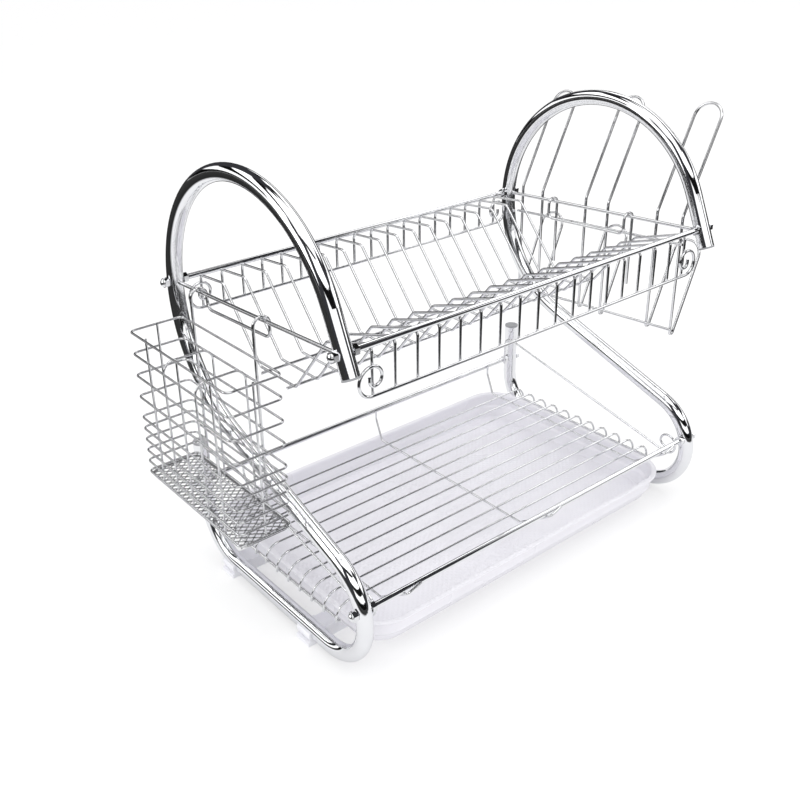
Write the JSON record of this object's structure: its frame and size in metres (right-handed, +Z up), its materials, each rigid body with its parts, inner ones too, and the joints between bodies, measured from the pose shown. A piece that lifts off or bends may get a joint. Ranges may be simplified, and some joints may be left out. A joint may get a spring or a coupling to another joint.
{
  "type": "dish drying rack",
  "caption": "Two-tier dish drying rack with bent side tubes, plate wires, a bowl rack, a drip tray, a cutlery basket and a cup holder.",
  "frame": {"origin": "middle of the base of the whole rack's box, on the table", "axes": "+X to the right along the rails, towards the cup holder, +Y to the back, +Z up"},
  "size_m": [0.5258, 0.266, 0.391],
  "materials": {
    "tube": "bright chrome plate on bent steel tube",
    "rail": "bright chrome plate on rod",
    "nut": "bright plated nuts",
    "wire": "bright chrome plate on wire",
    "basket_wire": "bright chrome plate on wire",
    "cup_wire": "bright chrome plate on wire",
    "mesh": "plated open steel mesh",
    "plug": "smooth moulded plastic",
    "foot": "smooth moulded plastic",
    "tray": "thin formed translucent plastic with a fine ribbed floor"
  },
  "bodies": {
    "rack": {"left_side_tube": "tube", "right_side_tube": "tube", "tube_plugs": "plug", "upper_front_rail": "rail", "upper_rear_rail": "rail", "lower_front_rail": "rail", "lower_rear_rail": "rail", "cap_nuts": "nut", "hex_nuts": "nut", "left_hanging_wire": "wire", "right_hanging_wire": "wire", "plate_wires": "wire", "front_curl_bar": "wire", "rear_curl_bar": "wire", "valley_bars": "wire", "bowl_floor_wires": "wire", "bowl_end_bars": "wire", "bowl_cross_bars": "wire", "bowl_end_wires": "wire", "clip_feet": "foot"},
    "drip_tray": {"drip_tray": "tray"},
    "cutlery_basket": {"basket_rings": "basket_wire", "basket_hook_wire": "basket_wire", "basket_uprights": "basket_wire", "basket_dividers": "basket_wire", "basket_floor_mesh": "mesh"},
    "cup_holder": {"cup_loops": "cup_wire", "cup_hook_wire": "cup_wire", "cup_upper_bar": "cup_wire", "cup_lower_bar": "cup_wire"}
  },
  "joints": [
    {"name": "tray_slide", "type": "slide", "parent": "rack", "child": "drip_tray", "axis": [0, -1, 0], "range_m": [0, 0.25]},
    {"name": "basket_lift", "type": "slide", "parent": "rack", "child": "cutlery_basket", "axis": [0, 0, 1], "range_m": [0, 0.035]},
    {"name": "cup_holder_lift", "type": "slide", "parent": "rack", "child": "cup_holder", "axis": [0, 0, 1], "range_m": [0, 0.035]}
  ]
}
